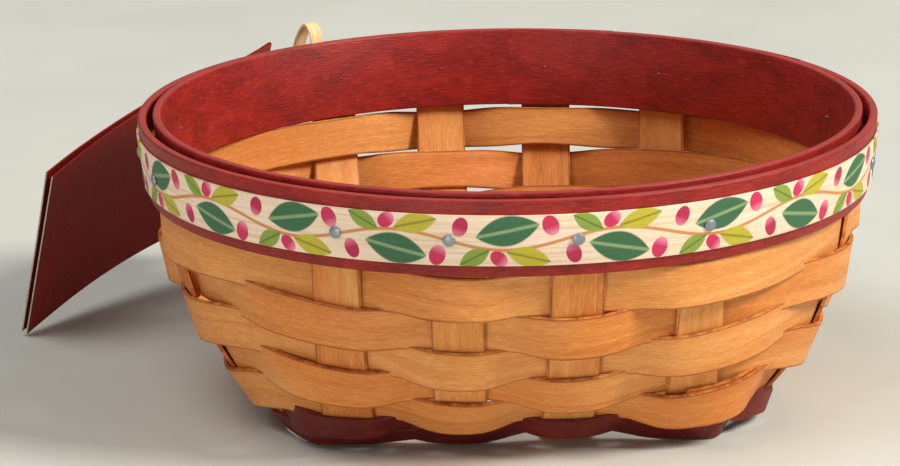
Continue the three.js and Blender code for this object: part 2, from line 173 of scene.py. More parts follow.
def upright_angle(place):
    lower = math.floor(place)
    ends = [UPRIGHTS[k % UPRIGHT_COUNT] + 360 * (k // UPRIGHT_COUNT) for k in (lower, lower + 1)]
    return ends[0] + (ends[1] - ends[0]) * (place - lower)


def drift(amount, *place):
    """Small smooth unevenness of handwork, the same on each run."""
    return amount * noise.noise(Vector(place))


# Meshes
def make_piece(name, points, faces, coords, material, body, nodes, sharp=35, insets=()):
    """A piece from points in millimetres, with its surface coordinates in millimetres."""
    mesh = bpy.data.meshes.new(name)
    mesh.from_pydata([p * MM for p in points], [], faces)
    layer = mesh.uv_layers.new(name="strip_mm")
    for loop, item in zip(mesh.loops, layer.data):
        item.uv = coords[loop.vertex_index]
    if insets:
        mesh.attributes.new("inset_mm", "FLOAT", "POINT").data.foreach_set("value", insets)
    mesh.materials.append(material)
    mesh.polygons.foreach_set("use_smooth", [True] * len(mesh.polygons))
    mesh.set_sharp_from_angle(angle=math.radians(sharp))
    piece = bpy.data.objects.new(name, mesh)
    bpy.context.collection.objects.link(piece)
    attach(piece, body)
    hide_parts(*nodes)
    return piece


def loft(rings):
    """Closed skin over rings of equal size, with flat ends."""
    size = len(rings[0])
    faces = []
    for i in range(len(rings) - 1):
        for k in range(size):
            a = i * size + k
            b = i * size + (k + 1) % size
            faces.append((a, b, b + size, a + size))
    faces.append(tuple(reversed(range(size))))
    faces.append(tuple(range((len(rings) - 1) * size, len(rings) * size)))
    return [p for ring in rings for p in ring], faces


def strip_section(width, thickness, edge, spans=4):
    """Section of a sliced strip: flat faces and softened edges, as (across, through) pairs."""
    half = width / 2
    face = [-half + edge + (width - 2 * edge) * i / spans for i in range(spans + 1)]
    rim = thickness / 2 - edge
    top = [(a, thickness / 2) for a in reversed(face)]
    foot = [(a, -thickness / 2) for a in face]
    return [(-half, -rim), *foot, (half, -rim), (half, rim), *top, (-half, rim)]


def strip_piece(name, stations, thickness, edge, material, nodes, start):
    """A strip swept through stations of (centre, across, normal, width)."""
    rings = []
    coords = []
    insets = []
    run = start
    before = stations[0][0]
    for centre, across, normal, width in stations:
        run += (centre - before).length
        before = centre
        section = strip_section(width, thickness, edge)
        rings.append([centre + across * a + normal * n for a, n in section])
        coords.extend((run, a) for a, n in section)
        insets.extend(width / 2 - edge - abs(a) for a, n in section)
    points, faces = loft(rings)
    piece = make_piece(name, points, faces, coords, material, "basket", nodes, insets=insets)
    return piece


# Materials
def hex_colour(code):
    """sRGB hex to linear RGBA."""
    parts = [int(code[i:i + 2], 16) / 255 for i in (0, 2, 4)]
    linear = [c / 12.92 if c <= 0.04045 else ((c + 0.055) / 1.055) ** 2.4 for c in parts]
    return (*linear, 1.0)


def add_node(tree, kind, inputs=None, stops=(), **settings):
    """Adds a node. Each input takes a value or a link, and stops fill a colour ramp."""
    node = tree.nodes.new(kind)
    for key, value in settings.items():
        setattr(node, key, value)
    for key, value in (inputs or {}).items():
        if isinstance(value, bpy.types.NodeSocket):
            tree.links.new(value, node.inputs[key])
        else:
            node.inputs[key].default_value = value
    for i, (position, code) in enumerate(stops):
        ramp = node.color_ramp.elements
        element = ramp[i] if i < len(ramp) else ramp.new(position)
        element.position = position
        element.color = hex_colour(code)
    return node


# Sockets of a node that mixes two colours
MIX_SHARE = 0
MIX_UNDER = 6
MIX_OVER = 7
MIXED = 2


def new_material(name, roughness, specular=0.5, metallic=0.0):
    material = bpy.data.materials.new(name)
    material.use_nodes = True
    shader = material.node_tree.nodes["Principled BSDF"]
    shader.inputs["Roughness"].default_value = roughness
    shader.inputs["Specular IOR Level"].default_value = specular
    shader.inputs["Metallic"].default_value = metallic
    return material, material.node_tree, shader


def grain(tree, along_mm, across_mm, detail=4.0, distortion=0.4):
    """Streaks along a strip, their length and width in millimetres, as coarse as they need to show."""
    place = add_node(tree, "ShaderNodeUVMap", uv_map="strip_mm").outputs["UV"]
    scale = (1 / along_mm, 1 / across_mm, 1)
    scaled = add_node(tree, "ShaderNodeVectorMath", {0: place, 1: scale}, operation="MULTIPLY")
    values = {"Vector": scaled.outputs[0], "Scale": 1.0, "Detail": detail, "Roughness": 0.6}
    values["Distortion"] = distortion
    return add_node(tree, "ShaderNodeTexNoise", values, noise_dimensions="2D").outputs["Fac"]


def sliced_maple():
    """Sliced maple under clear sealer: honey colour, long fine streaks, a dull sheen; pale cut faces,
    partly a painted highlight, and dark corners, partly painted shade of the gaps between strips.
    """
    material, tree, shader = new_material("sliced_maple_clear_sealed", roughness=0.55, specular=0.25)
    broad = grain(tree, along_mm=55, across_mm=3.6, detail=3.0, distortion=0.8)
    fine = grain(tree, along_mm=3.0, across_mm=0.38, distortion=0.5)
    patch = grain(tree, along_mm=160, across_mm=60, detail=1.0, distortion=0.0)
    body = [(0.25, "D6944F"), (0.5, "E2A25C"), (0.75, "EAAF6E")]
    body = add_node(tree, "ShaderNodeValToRGB", {0: broad}, body).outputs[0]
    tone = [(0.35, "EFCFAE"), (0.5, "FFFFFF"), (0.65, "F6DDC0")]
    tone = add_node(tree, "ShaderNodeValToRGB", {0: patch}, tone).outputs[0]
    lines = [(0.3, "4A4038"), (0.5, "808080"), (0.7, "C0BCB4")]
    lines = add_node(tree, "ShaderNodeValToRGB", {0: fine}, lines).outputs[0]
    warm = {MIX_SHARE: 0.85, MIX_UNDER: body, MIX_OVER: tone}
    warm = add_node(tree, "ShaderNodeMix", warm, data_type="RGBA", blend_type="MULTIPLY").outputs[MIXED]
    wood = {MIX_SHARE: 0.55, MIX_UNDER: warm, MIX_OVER: lines}
    wood = add_node(tree, "ShaderNodeMix", wood, data_type="RGBA", blend_type="SOFT_LIGHT").outputs[MIXED]
    # By each strip's edges, painted shade: a dark line at the corners stands for the shadow in the gaps
    # between strips, along with the rough cut corner. The pale cut faces are partly a painted highlight.
    inset = add_node(tree, "ShaderNodeAttribute", attribute_name="inset_mm").outputs["Fac"]
    edge_shade_mask = {0: fine, 1: -0.6, 2: inset}
    edge_shade_mask = add_node(tree, "ShaderNodeMath", edge_shade_mask, operation="MULTIPLY_ADD").outputs[0]
    edge_shade_mask = add_node(tree, "ShaderNodeMapRange", {"Value": edge_shade_mask, "From Min": -0.5, "From Max": 0.2})
    cut_faces_and_edge_shade = [(0.0, "FFF4E4"), (0.3, "824E2C"), (0.9, "FFFFFF")]
    cut_faces_and_edge_shade = add_node(tree, "ShaderNodeValToRGB", {0: edge_shade_mask.outputs[0]}, cut_faces_and_edge_shade).outputs[0]
    wood = {MIX_SHARE: 0.75, MIX_UNDER: wood, MIX_OVER: cut_faces_and_edge_shade}
    wood = add_node(tree, "ShaderNodeMix", wood, data_type="RGBA", blend_type="MULTIPLY").outputs[MIXED]
    ribs = add_node(tree, "ShaderNodeBump", {"Strength": 0.5, "Distance": 0.12 * MM, "Height": fine})
    tree.links.new(wood, shader.inputs["Base Color"])
    tree.links.new(ribs.outputs[0], shader.inputs["Normal"])
    return material


def stained_maple(name, dark, middle, light, pale_wear_and_highlight):
    """Maple stained wine red: uneven dye in the grain, paler scuffed fibres, and faces turned up painted
    paler, partly scuffed upper edges and partly a painted highlight from above.
    """
    material, tree, shader = new_material(name, roughness=0.48, specular=0.32)
    broad = grain(tree, along_mm=16, across_mm=7.0, detail=3.0, distortion=0.6)
    fine = grain(tree, along_mm=6.0, across_mm=0.35, detail=3.0, distortion=0.3)
    specks = grain(tree, along_mm=3.2, across_mm=0.3, detail=3.0, distortion=0.2)
    body = [(0.3, dark), (0.5, middle), (0.72, light)]
    body = add_node(tree, "ShaderNodeValToRGB", {0: broad}, body).outputs[0]
    lines = [(0.3, "6A3A3A"), (0.5, "FFFFFF"), (1.0, "FFFFFF")]
    lines = add_node(tree, "ShaderNodeValToRGB", {0: fine}, lines).outputs[0]
    dyed = {MIX_SHARE: 0.3, MIX_UNDER: body, MIX_OVER: lines}
    dyed = add_node(tree, "ShaderNodeMix", dyed, data_type="RGBA", blend_type="MULTIPLY").outputs[MIXED]
    wear_and_highlight = {"Value": specks, "From Min": 0.5, "From Max": 0.85, "To Max": 0.4}
    wear_and_highlight = add_node(tree, "ShaderNodeMapRange", wear_and_highlight).outputs[0]
    # Faces turned up are painted paler: partly scuffed upper edges, partly a painted highlight from above.
    facing = add_node(tree, "ShaderNodeNewGeometry").outputs["Normal"]
    facing = add_node(tree, "ShaderNodeSeparateXYZ", {0: facing}).outputs["Z"]
    painted_top_highlight = {"Value": facing, "From Min": 0.6, "From Max": 0.95, "To Max": 0.45}
    painted_top_highlight = add_node(tree, "ShaderNodeMapRange", painted_top_highlight).outputs[0]
    wear_and_highlight = add_node(tree, "ShaderNodeMath", {0: wear_and_highlight, 1: painted_top_highlight}, operation="MAXIMUM").outputs[0]
    wood = {MIX_SHARE: wear_and_highlight, MIX_UNDER: dyed, MIX_OVER: hex_colour(pale_wear_and_highlight)}
    wood = add_node(tree, "ShaderNodeMix", wood, data_type="RGBA").outputs[MIXED]
    ribs = add_node(tree, "ShaderNodeBump", {"Strength": 0.5, "Distance": 0.12 * MM, "Height": fine})
    tree.links.new(wood, shader.inputs["Base Color"])
    tree.links.new(ribs.outputs[0], shader.inputs["Normal"])
    return material


# The trim's print: a running vine that repeats turned over every half wave, its stem in half widths
VINE_HALF_WAVE = 26.0
VINE_SWING = 2.2
STEM_FULL = 0.275
STEM_END = 0.525
INK_EDGE = 0.06
GROUND_HEX = "EFD6BB"
STEM_HEX = "CF8A52"
LEAF_SHAPES = (
    # centre along, centre across, angle, length, width, leaf colour, rib colour
    (13.6, -2.4, -12, 15.0, 7.2, "3F6A49", "86A070"),
    (18.4, 3.9, 14, 10.5, 4.8, "BDB13A", "8F8B2C"),
    (6.0, 4.0, 152, 8.0, 4.0, "8A9E42", "647C38"),
)
BUD_SHAPES = (
    # centre along, centre across, angle, length, width, bud colour, sheen colour
    (23.4, -3.6, 70, 5.0, 3.8, "C8345A", "E88AA2"),
    (11.6, 4.3, 40, 4.4, 3.4, "C8345A", "E88AA2"),
    (2.8, -3.3, 110, 4.8, 3.5, "B42C50", "DE7A92"),
)


def print_shape(tree, along, across, centre, angle, size, power):
    """Mask of a pointed leaf or a round bud, with each place's share of the way out and along it."""
    turn = math.radians(angle)
    x = add_node(tree, "ShaderNodeMath", {0: along, 1: centre[0]}, operation="SUBTRACT").outputs[0]
    y = add_node(tree, "ShaderNodeMath", {0: across, 1: centre[1]}, operation="SUBTRACT").outputs[0]
    place = add_node(tree, "ShaderNodeCombineXYZ", {0: x, 1: y}).outputs[0]
    lengthwise = (2 * math.cos(turn) / size[0], 2 * math.sin(turn) / size[0], 0)
    sideways = (-2 * math.sin(turn) / size[1], 2 * math.cos(turn) / size[1], 0)
    run = {0: place, 1: lengthwise}
    run = add_node(tree, "ShaderNodeVectorMath", run, operation="DOT_PRODUCT").outputs["Value"]
    off = {0: place, 1: sideways}
    off = add_node(tree, "ShaderNodeVectorMath", off, operation="DOT_PRODUCT").outputs["Value"]
    off = add_node(tree, "ShaderNodeMath", {0: off}, operation="ABSOLUTE").outputs[0]
    square = add_node(tree, "ShaderNodeMath", {0: run, 1: run}, operation="MULTIPLY").outputs[0]
    rise = add_node(tree, "ShaderNodeMath", {0: off, 1: power}, operation="POWER").outputs[0]
    total = add_node(tree, "ShaderNodeMath", {0: square, 1: rise}, operation="ADD").outputs[0]
    inside = {"Value": total, "From Min": 1 + INK_EDGE, "From Max": 1 - INK_EDGE}
    return add_node(tree, "ShaderNodeMapRange", inside).outputs[0], off, run


def printed_veneer():
    """Cream veneer with a vine printed on it: flat ink that lets the veneer's streaks show through."""
    material, tree, shader = new_material("printed_maple_veneer", roughness=0.55, specular=0.25)
    place = add_node(tree, "ShaderNodeUVMap", uv_map="strip_mm").outputs["UV"]
    parts = add_node(tree, "ShaderNodeSeparateXYZ", {0: place})
    along = {0: parts.outputs[0], 1: VINE_HALF_WAVE}
    along = add_node(tree, "ShaderNodeMath", along, operation="FLOORED_MODULO").outputs[0]
    turned = {0: parts.outputs[0], 1: 2 * VINE_HALF_WAVE}
    turned = add_node(tree, "ShaderNodeMath", turned, operation="FLOORED_MODULO").outputs[0]
    side = {0: turned, 1: VINE_HALF_WAVE}
    side = add_node(tree, "ShaderNodeMath", side, operation="GREATER_THAN").outputs[0]
    side = {"Value": side, "To Min": 1.0, "To Max": -1.0}
    side = add_node(tree, "ShaderNodeMapRange", side).outputs[0]
    across = {0: parts.outputs[1], 1: side}
    across = add_node(tree, "ShaderNodeMath", across, operation="MULTIPLY").outputs[0]
    streaks = grain(tree, along_mm=40, across_mm=0.8)
    ground = [(0.3, "E6CAAB"), (0.55, GROUND_HEX), (0.8, "F4DFC8")]
    colour = add_node(tree, "ShaderNodeValToRGB", {0: streaks}, ground).outputs[0]
    wave = {0: along, 1: math.pi / VINE_HALF_WAVE}
    wave = add_node(tree, "ShaderNodeMath", wave, operation="MULTIPLY").outputs[0]
    wave = add_node(tree, "ShaderNodeMath", {0: wave}, operation="SINE").outputs[0]
    wave = {0: wave, 1: VINE_SWING}
    wave = add_node(tree, "ShaderNodeMath", wave, operation="MULTIPLY").outputs[0]
    gap = add_node(tree, "ShaderNodeMath", {0: across, 1: wave}, operation="SUBTRACT").outputs[0]
    gap = add_node(tree, "ShaderNodeMath", {0: gap}, operation="ABSOLUTE").outputs[0]
    stem = {"Value": gap, "From Min": STEM_END, "From Max": STEM_FULL}
    stem = add_node(tree, "ShaderNodeMapRange", stem).outputs[0]
    ink = {MIX_SHARE: stem, MIX_UNDER: colour, MIX_OVER: hex_colour(STEM_HEX)}
    colour = add_node(tree, "ShaderNodeMix", ink, data_type="RGBA").outputs[MIXED]
    for x, y, angle, length, width, leaf, rib in LEAF_SHAPES:
        mask, off, _ = print_shape(tree, along, across, (x, y), angle, (length, width), power=1.0)
        vein = {"Value": off, "From Min": 0.16, "From Max": 0.06}
        vein = add_node(tree, "ShaderNodeMapRange", vein).outputs[0]
        tint = {MIX_SHARE: vein, MIX_UNDER: hex_colour(leaf), MIX_OVER: hex_colour(rib)}
        tint = add_node(tree, "ShaderNodeMix", tint, data_type="RGBA").outputs[MIXED]
        ink = {MIX_SHARE: mask, MIX_UNDER: colour, MIX_OVER: tint}
        colour = add_node(tree, "ShaderNodeMix", ink, data_type="RGBA").outputs[MIXED]
    for x, y, angle, length, width, bud, sheen in BUD_SHAPES:
        mask, _, run = print_shape(tree, along, across, (x, y), angle, (length, width), power=2.0)
        tip = {"Value": run, "From Min": 0.1, "From Max": 0.9}
        tip = add_node(tree, "ShaderNodeMapRange", tip).outputs[0]
        tint = {MIX_SHARE: tip, MIX_UNDER: hex_colour(bud), MIX_OVER: hex_colour(sheen)}
        tint = add_node(tree, "ShaderNodeMix", tint, data_type="RGBA").outputs[MIXED]
        ink = {MIX_SHARE: mask, MIX_UNDER: colour, MIX_OVER: tint}
        colour = add_node(tree, "ShaderNodeMix", ink, data_type="RGBA").outputs[MIXED]
    lines = [(0.3, "D2B48C"), (0.5, "FFFFFF"), (1.0, "FFFFFF")]
    lines = add_node(tree, "ShaderNodeValToRGB", {0: streaks}, lines).outputs[0]
    veil = {MIX_SHARE: 0.2, MIX_UNDER: colour, MIX_OVER: lines}
    colour = add_node(tree, "ShaderNodeMix", veil, data_type="RGBA", blend_type="MULTIPLY").outputs[MIXED]
    tree.links.new(colour, shader.inputs["Base Color"])
    return material


def wire_steel():
    """Plain steel wire, headed cold: an even dull grey sheen."""
    material, tree, shader = new_material("cold_headed_steel", roughness=0.5, metallic=1.0)
    shader.inputs["Base Color"].default_value = hex_colour("9AA0A8")
    return material


def printed_card(name, tones, roughness):
    """Coated card in one ink, or bare fibre at its cut ends: even colour with a faint mottle."""
    material, tree, shader = new_material(name, roughness, specular=0.2)
    mottle = grain(tree, along_mm=1.6, across_mm=1.3, detail=5.0)
    colour = add_node(tree, "ShaderNodeValToRGB", {0: mottle}, tones).outputs[0]
    fibre = add_node(tree, "ShaderNodeBump", {"Strength": 0.2, "Distance": 0.05 * MM, "Height": mottle})
    tree.links.new(colour, shader.inputs["Base Color"])
    tree.links.new(fibre.outputs[0], shader.inputs["Normal"])
    return material


def split_lace():
    """Split leather cut to a flat pale lace: fine lengthwise creases, dry and matt."""
    material, tree, shader = new_material("split_leather_lace", roughness=0.75, specular=0.3)
    creases = grain(tree, along_mm=18, across_mm=0.35)
    tones = [(0.3, "D9AE78"), (0.5, "EFC992"), (0.75, "F8DFB4")]
    colour = add_node(tree, "ShaderNodeValToRGB", {0: creases}, tones).outputs[0]
    ribs = add_node(tree, "ShaderNodeBump", {"Strength": 0.6, "Distance": 0.1 * MM, "Height": creases})
    tree.links.new(colour, shader.inputs["Base Color"])
    tree.links.new(ribs.outputs[0], shader.inputs["Normal"])
    return material


natural_maple = sliced_maple()
# The last colour of each stained maple serves both its paler scuffs and the painted highlight on faces
# turned up.
band_maple = stained_maple("stained_maple_bent_band", "7C130F", "8F1A14", "A0221A", "BC5A52")
row_maple = stained_maple("stained_maple_sliced_row", "53110E", "631712", "742019", "90463E")
trim_print = printed_veneer()
brad_steel = wire_steel()
FACE_TONES = [(0.3, "7A1C14"), (0.55, "8A2219"), (0.8, "98281E")]
EDGE_TONES = [(0.3, "A4968A"), (0.55, "B8AA9E"), (0.8, "C8BCB0")]
card_face = printed_card("printed_coated_card", FACE_TONES, roughness=0.6)
card_edge = printed_card("cut_card_edge", EDGE_TONES, roughness=0.8)
lace_leather = split_lace()


# Each strip takes its own stretch of the grain, this far from the next
GRAIN_STRETCH = 1000

# Long splints: down one side, across the woven base and up the other side
WALL_STEPS = 26
BASE_STEPS = 64
BASE_BEND = 3.0
CROSSING_FLATNESS = 1.6
STAKE_TOP = WALL_LENGTH + (BAND_HEIGHT - STAKE_DROP) / math.cos(BAND_TAPER)


def stake_side(theta, flip):
    stations = []
    for i in range(WALL_STEPS + 1):
        distance = STAKE_TOP * i / WALL_STEPS
        centre, along, outward, _ = wall_frame(theta, distance)
        stations.append((centre, along * flip, outward, STAKE_WIDTH))
    return stations


def weave_lift(phase):
    return clamp(CROSSING_FLATNESS * math.cos(math.pi * phase), -1, 1)


def make_stake(name, ends, heading, across, offset, half, pitch, lift, start):
    reach = half - BASE_BEND
    base = []
    for i in range(BASE_STEPS + 1):
        run = -reach + 2 * reach * i / BASE_STEPS
        centre = heading * run + across * offset
        centre.z = BASE_LEVEL + CROSSING_LIFT * lift(run / pitch)
        base.append((centre, across, Vector((0, 0, -1)), STAKE_WIDTH))
    stations = [*reversed(stake_side(ends[0], 1)), *base, *stake_side(ends[1], -1)]
    strip_piece(
        f"splint_{name}", stations, STAKE_THICKNESS, STRIP_EDGE, natural_maple,
        [f"stake_{name}"], start,
    )


for i, angle in enumerate(FRONT_ANGLES):
    sign = 1 if i % 2 == 0 else -1
    make_stake(
        f"front_back_{i + 1}", (angle, 180 - angle), Vector((0, 1, 0)), Vector((1, 0, 0)),
        angle * FRONT_PITCH / FRONT_STEP, BASE_HALF_DEPTH, SIDE_PITCH,
        lambda p, s=sign: s * weave_lift(p) if abs(p) < len(SIDE_ANGLES) / 2 else 0, GRAIN_STRETCH * i,
    )
for j, angle in enumerate(SIDE_ANGLES):
    sign = 1 if j % 2 == 0 else -1
    make_stake(
        f"side_side_{j + 1}", (angle, 360 - angle), Vector((-1, 0, 0)), Vector((0, 1, 0)),
        (j - 1) * SIDE_PITCH, BASE_HALF_WIDTH, FRONT_PITCH,
        lambda p, s=sign: s * weave_lift(p + 0.5), GRAIN_STRETCH * (j + 5),
    )


# Weavers: five wide natural rows over two narrow stained ones, each a little broader between uprights
ROW_DISTANCES = (60.7, 49.6, 38.9, 28.7, 18.2, 10.6, 5.0)
WIDE_ROWS = 5
WIDE_WIDTHS = (10.4, 11.0)
WIDE_CORNER_CUT = 0.3
NARROW_WIDTHS = (5.4, 6.2)
NARROW_CORNER_GAIN = 1.4
CORNER_DROPS = (0, 0, 0, 0.2, 0.5, 1.7, 3.2)
SIDE_GAIN = 0.5
BACK_SLACK = 0.9
FRONT_TUCK = 1.8
WEAVER_THICKNESS = 1.05
WEAVER_TILT = math.radians(5)
ROW_FLARES = (12, 12, 12, 12, 12, 24, 8)
SIDE_EASE = 0.65
WEAVE_FIT = 0.2
FLOOR_CLEAR = 0.05
ROW_DRIFT = 0.35
TILT_DRIFT = 0.03
WIDTH_DRIFT = 0.22
WAVE_FULLNESS = 0.3
LAP_STEP = 1.15
LAP_SPACES = 3
LAP_LEAD = 0.75
LAP_EASE = 2
START_UPRIGHTS = (7, 10, 5, 8, 3, 6)
END_REACH = 0.06
SPACE_STEPS = 14
TAIL_TRIM = 1.1
STACK = (STAKE_THICKNESS + WEAVER_THICKNESS) / 2 + WEAVE_FIT


def weaver_station(place, row, wave, lap, trim=0.0):
    """Where a strip lies: clear of the upright that it passes, with its lower edge flared when outside."""
    wide = row <= WIDE_ROWS
    over, between = WIDE_WIDTHS if wide else NARROW_WIDTHS
    flare = math.radians(ROW_FLARES[row - 1])
    theta = upright_angle(place)
    corner = corner_share(theta)
    facing = math.cos(math.radians(theta))
    slack = BACK_SLACK * max(-facing, 0)
    tuck = FRONT_TUCK * max(facing, 0) * max(-wave, 0) if wide else 0
    side = math.sin(math.radians(theta)) ** 2 if wide else 0
    distance = ROW_DISTANCES[row - 1] - trim / 2 - CORNER_DROPS[row - 1] * corner
    if wide:
        distance += drift(ROW_DRIFT, place * 0.9, row * 7.3, 1.7) - slack
    centre, _, outward, up = wall_frame(theta, distance)
    flared = max(wave, 0 if wide else corner)
    tilt = (WEAVER_TILT + flared * flare) * (1 - SIDE_EASE * side)
    tilt += drift(TILT_DRIFT, place * 1.3, row * 3.1, 4.2)
    breadth = between + (over - between) * wave * wave - trim - slack + tuck + SIDE_GAIN * side
    breadth += (-WIDE_CORNER_CUT if wide else NARROW_CORNER_GAIN) * math.sqrt(corner)
    breadth += drift(WIDTH_DRIFT, place * 2.3, row * 5.9, 8.8)
    across = up * math.cos(tilt) - outward * math.sin(tilt)
    face = outward * math.cos(tilt) + up * math.sin(tilt)
    centre += outward * (wave * (STACK + over * math.sin(tilt) / 2) + lap)
    lowest = centre.z - across.z * breadth / 2 - abs(face.z) * WEAVER_THICKNESS / 2
    centre.z += max(FLOOR_CLEAR - lowest, 0)
    return centre, across, face, breadth


def swung(place, row):
    """A rounded wave: 1 where the strip passes outside an upright and -1 where it passes inside."""
    swing = math.cos(math.pi * (place - row))
    return swing * (1 + WAVE_FULLNESS - WAVE_FULLNESS * swing * swing)


for row in range(1, len(ROW_DISTANCES)):
    first = START_UPRIGHTS[row - 1]
    start = first - END_REACH
    end = first + UPRIGHT_COUNT + LAP_SPACES + END_REACH
    count = math.ceil((end - start) * SPACE_STEPS)
    stations = []
    for i in range(count + 1):
        place = start + (end - start) * i / count
        wave = swung(place, row)
        head = clamp(LAP_EASE * (first + LAP_SPACES + LAP_LEAD - place))
        tail = clamp(LAP_EASE * (place - first - UPRIGHT_COUNT + LAP_LEAD))
        lap = (tail * (1 + wave) - head * (1 - wave)) * LAP_STEP / 2
        stations.append(weaver_station(place, row, wave, lap))
    wood = natural_maple if row <= WIDE_ROWS else row_maple
    strip_piece(
        f"woven_row_{row}", stations, WEAVER_THICKNESS, STRIP_EDGE, wood,
        [f"weaver_{row}"], GRAIN_STRETCH * (row + 9),
    )

# The lowest row closes at the front left, where its tail stays outside the first upright and tucks in
LOWEST_ROW = len(ROW_DISTANCES)
HEAD_REACH = 0.3
TAIL_REACH = 0.85
TAIL_LEAD = 0.9
TAIL_EASE = 4
TUCK_LEAD = 0.2
TUCK_REACH = 0.6
lowest_start = UPRIGHT_COUNT - HEAD_REACH
lowest_close = 2 * UPRIGHT_COUNT
lowest_end = lowest_close + TAIL_REACH
count = math.ceil((lowest_end - lowest_start) * SPACE_STEPS)
stations = []
for i in range(count + 1):
    place = lowest_start + (lowest_end - lowest_start) * i / count
    tail = clamp(TAIL_EASE * (place - lowest_close + TAIL_LEAD))
    tuck = clamp((place - lowest_close - TUCK_LEAD) / TUCK_REACH)
    wave = swung(place, LOWEST_ROW)
    wave += (1 - tuck - wave) * tail
    stations.append(weaver_station(place, LOWEST_ROW, wave, 0, TAIL_TRIM * tail))
strip_piece(
    f"woven_row_{LOWEST_ROW}", stations, WEAVER_THICKNESS, STRIP_EDGE, row_maple,
    [f"weaver_{LOWEST_ROW}"], 17 * GRAIN_STRETCH,
)


# Bands: bent hoops with scarfed ends and worn, rounded edges
HOOP_STEP = 2.0
SCARF_ANGLE = 19.0
SCARF_TIP = 0.5
TAIL_TIP = 0.02
BAND_ROUND = 0.55
SCARF_FIT = 0.02
HEAD_TURN = 359.5
SCARF_LEAD = 0.25
OUTER_SCARF = 122
INNER_SCARF = 159.3
THIN_END_PARTS = 2.2
CORNER_POINTS = 4


def hoop_section(theta, outer_top, foot, height, inner, outer, round_mm):
    """A hoop's section at an angle, rounded less where thin, with each point's height from its middle."""
    soft = min(round_mm, (inner - outer) / THIN_END_PARTS)
    top = foot + height
    outline = []
    for z, depth, start in (
        (foot + round_mm, inner - soft, 270),
        (top - round_mm, inner - soft, 180),
        (top - round_mm, outer + soft, 90),
        (foot + round_mm, outer + soft, 0),
    ):
        for step in range(CORNER_POINTS):
            turn = math.radians(start - 90 / (CORNER_POINTS - 1) * step)
            outline.append((z + round_mm * math.sin(turn), depth - soft * math.cos(turn)))
    points = []
    for z, depth in outline:
        fall = (TOTAL_HEIGHT - z) * math.tan(BAND_TAPER)
        points.append(ring_point(theta, outer_top - depth - fall, z))
    return points, [z - foot - height / 2 for z, depth in outline]


def hoop_piece(name, sections, radius, material, start):
    """A hoop from (angle, outer top radius, foot, height, inner depth, outer depth, rounding) sections."""
    rings = []
    coords = []
    for section in sections:
        points, heights = hoop_section(*section)
        rings.append(points)
        run = start + math.radians(section[0]) * radius
        coords.extend((run, h) for h in heights)
    points, faces = loft(rings)
    piece = make_piece(f"bent_{name}", points, faces, coords, material, "basket", [name])


def make_band(name, outer_top, tip, rise, start):
    taper = BAND_THICKNESS - SCARF_TIP
    lap = SCARF_ANGLE * (taper - TAIL_TIP - SCARF_FIT) / taper
    close = tip + 360
    height = BAND_HEIGHT + rise
    sections = []
    head_count = math.ceil(HEAD_TURN / HOOP_STEP)
    for i in range(head_count + 1):
        theta = tip + HEAD_TURN * i / head_count
        depth = SCARF_TIP + taper * min((theta - tip) / SCARF_ANGLE, 1)
        sections.append((theta, outer_top, BAND_FOOT, height, depth, 0, BAND_ROUND))
    tail_count = math.ceil(lap / HOOP_STEP)
    for i in range(tail_count + 1):
        theta = close - SCARF_LEAD + (lap + SCARF_LEAD) * i / tail_count
        depth = SCARF_TIP + taper * max(theta - close, 0) / SCARF_ANGLE + SCARF_FIT
        sections.append((theta, outer_top, BAND_FOOT, height, BAND_THICKNESS, depth, BAND_ROUND))
    hoop_piece(name, sections, RIM_RADIUS, band_maple, start)


make_band("outer_band", RIM_RADIUS, OUTER_SCARF, 0, 20 * GRAIN_STRETCH)
inner_top = RIM_RADIUS - BAND_THICKNESS - BAND_GAP
make_band("inner_band", inner_top, INNER_SCARF, INNER_RISE, 22 * GRAIN_STRETCH)

# Trim strip, its ends meeting at the back right
TRIM_WIDTH = 12.2
TRIM_THICKNESS = 0.65
TRIM_DROP = 3.4
TRIM_ROUND = 0.15
GLUE_LINE = 0.1
TRIM_START = 130.2
TRIM_END = 489.8
trim_foot = TOTAL_HEIGHT - TRIM_DROP - TRIM_WIDTH
trim_top = RIM_RADIUS + GLUE_LINE + TRIM_THICKNESS
trim_count = math.ceil((TRIM_END - TRIM_START) / HOOP_STEP)
trim_sections = []
for i in range(trim_count + 1):
    theta = TRIM_START + (TRIM_END - TRIM_START) * i / trim_count
    trim_sections.append((theta, trim_top, trim_foot, TRIM_WIDTH, TRIM_THICKNESS, 0, TRIM_ROUND))
hoop_piece("trim_strip", trim_sections, RIM_RADIUS, trim_print, start=0)

# Brads: a domed head on the trim, a shank through every layer and a point just inside
BRAD_DROP = 9.0
BRAD_HEAD = 1.5
BRAD_SHANK = 0.8
BRAD_SIDES = 24
INNER_FACE = BAND_GAP / 2 + BAND_THICKNESS
OUTER_FACE = INNER_FACE + GLUE_LINE + TRIM_THICKNESS
# Degrees by which some brads miss the middle of their upright
BRAD_SHIFTS = {0: 1.8, 1: -0.7, 2: -0.5, 3: -1.0, 10: -1.0, 13: 3.0}
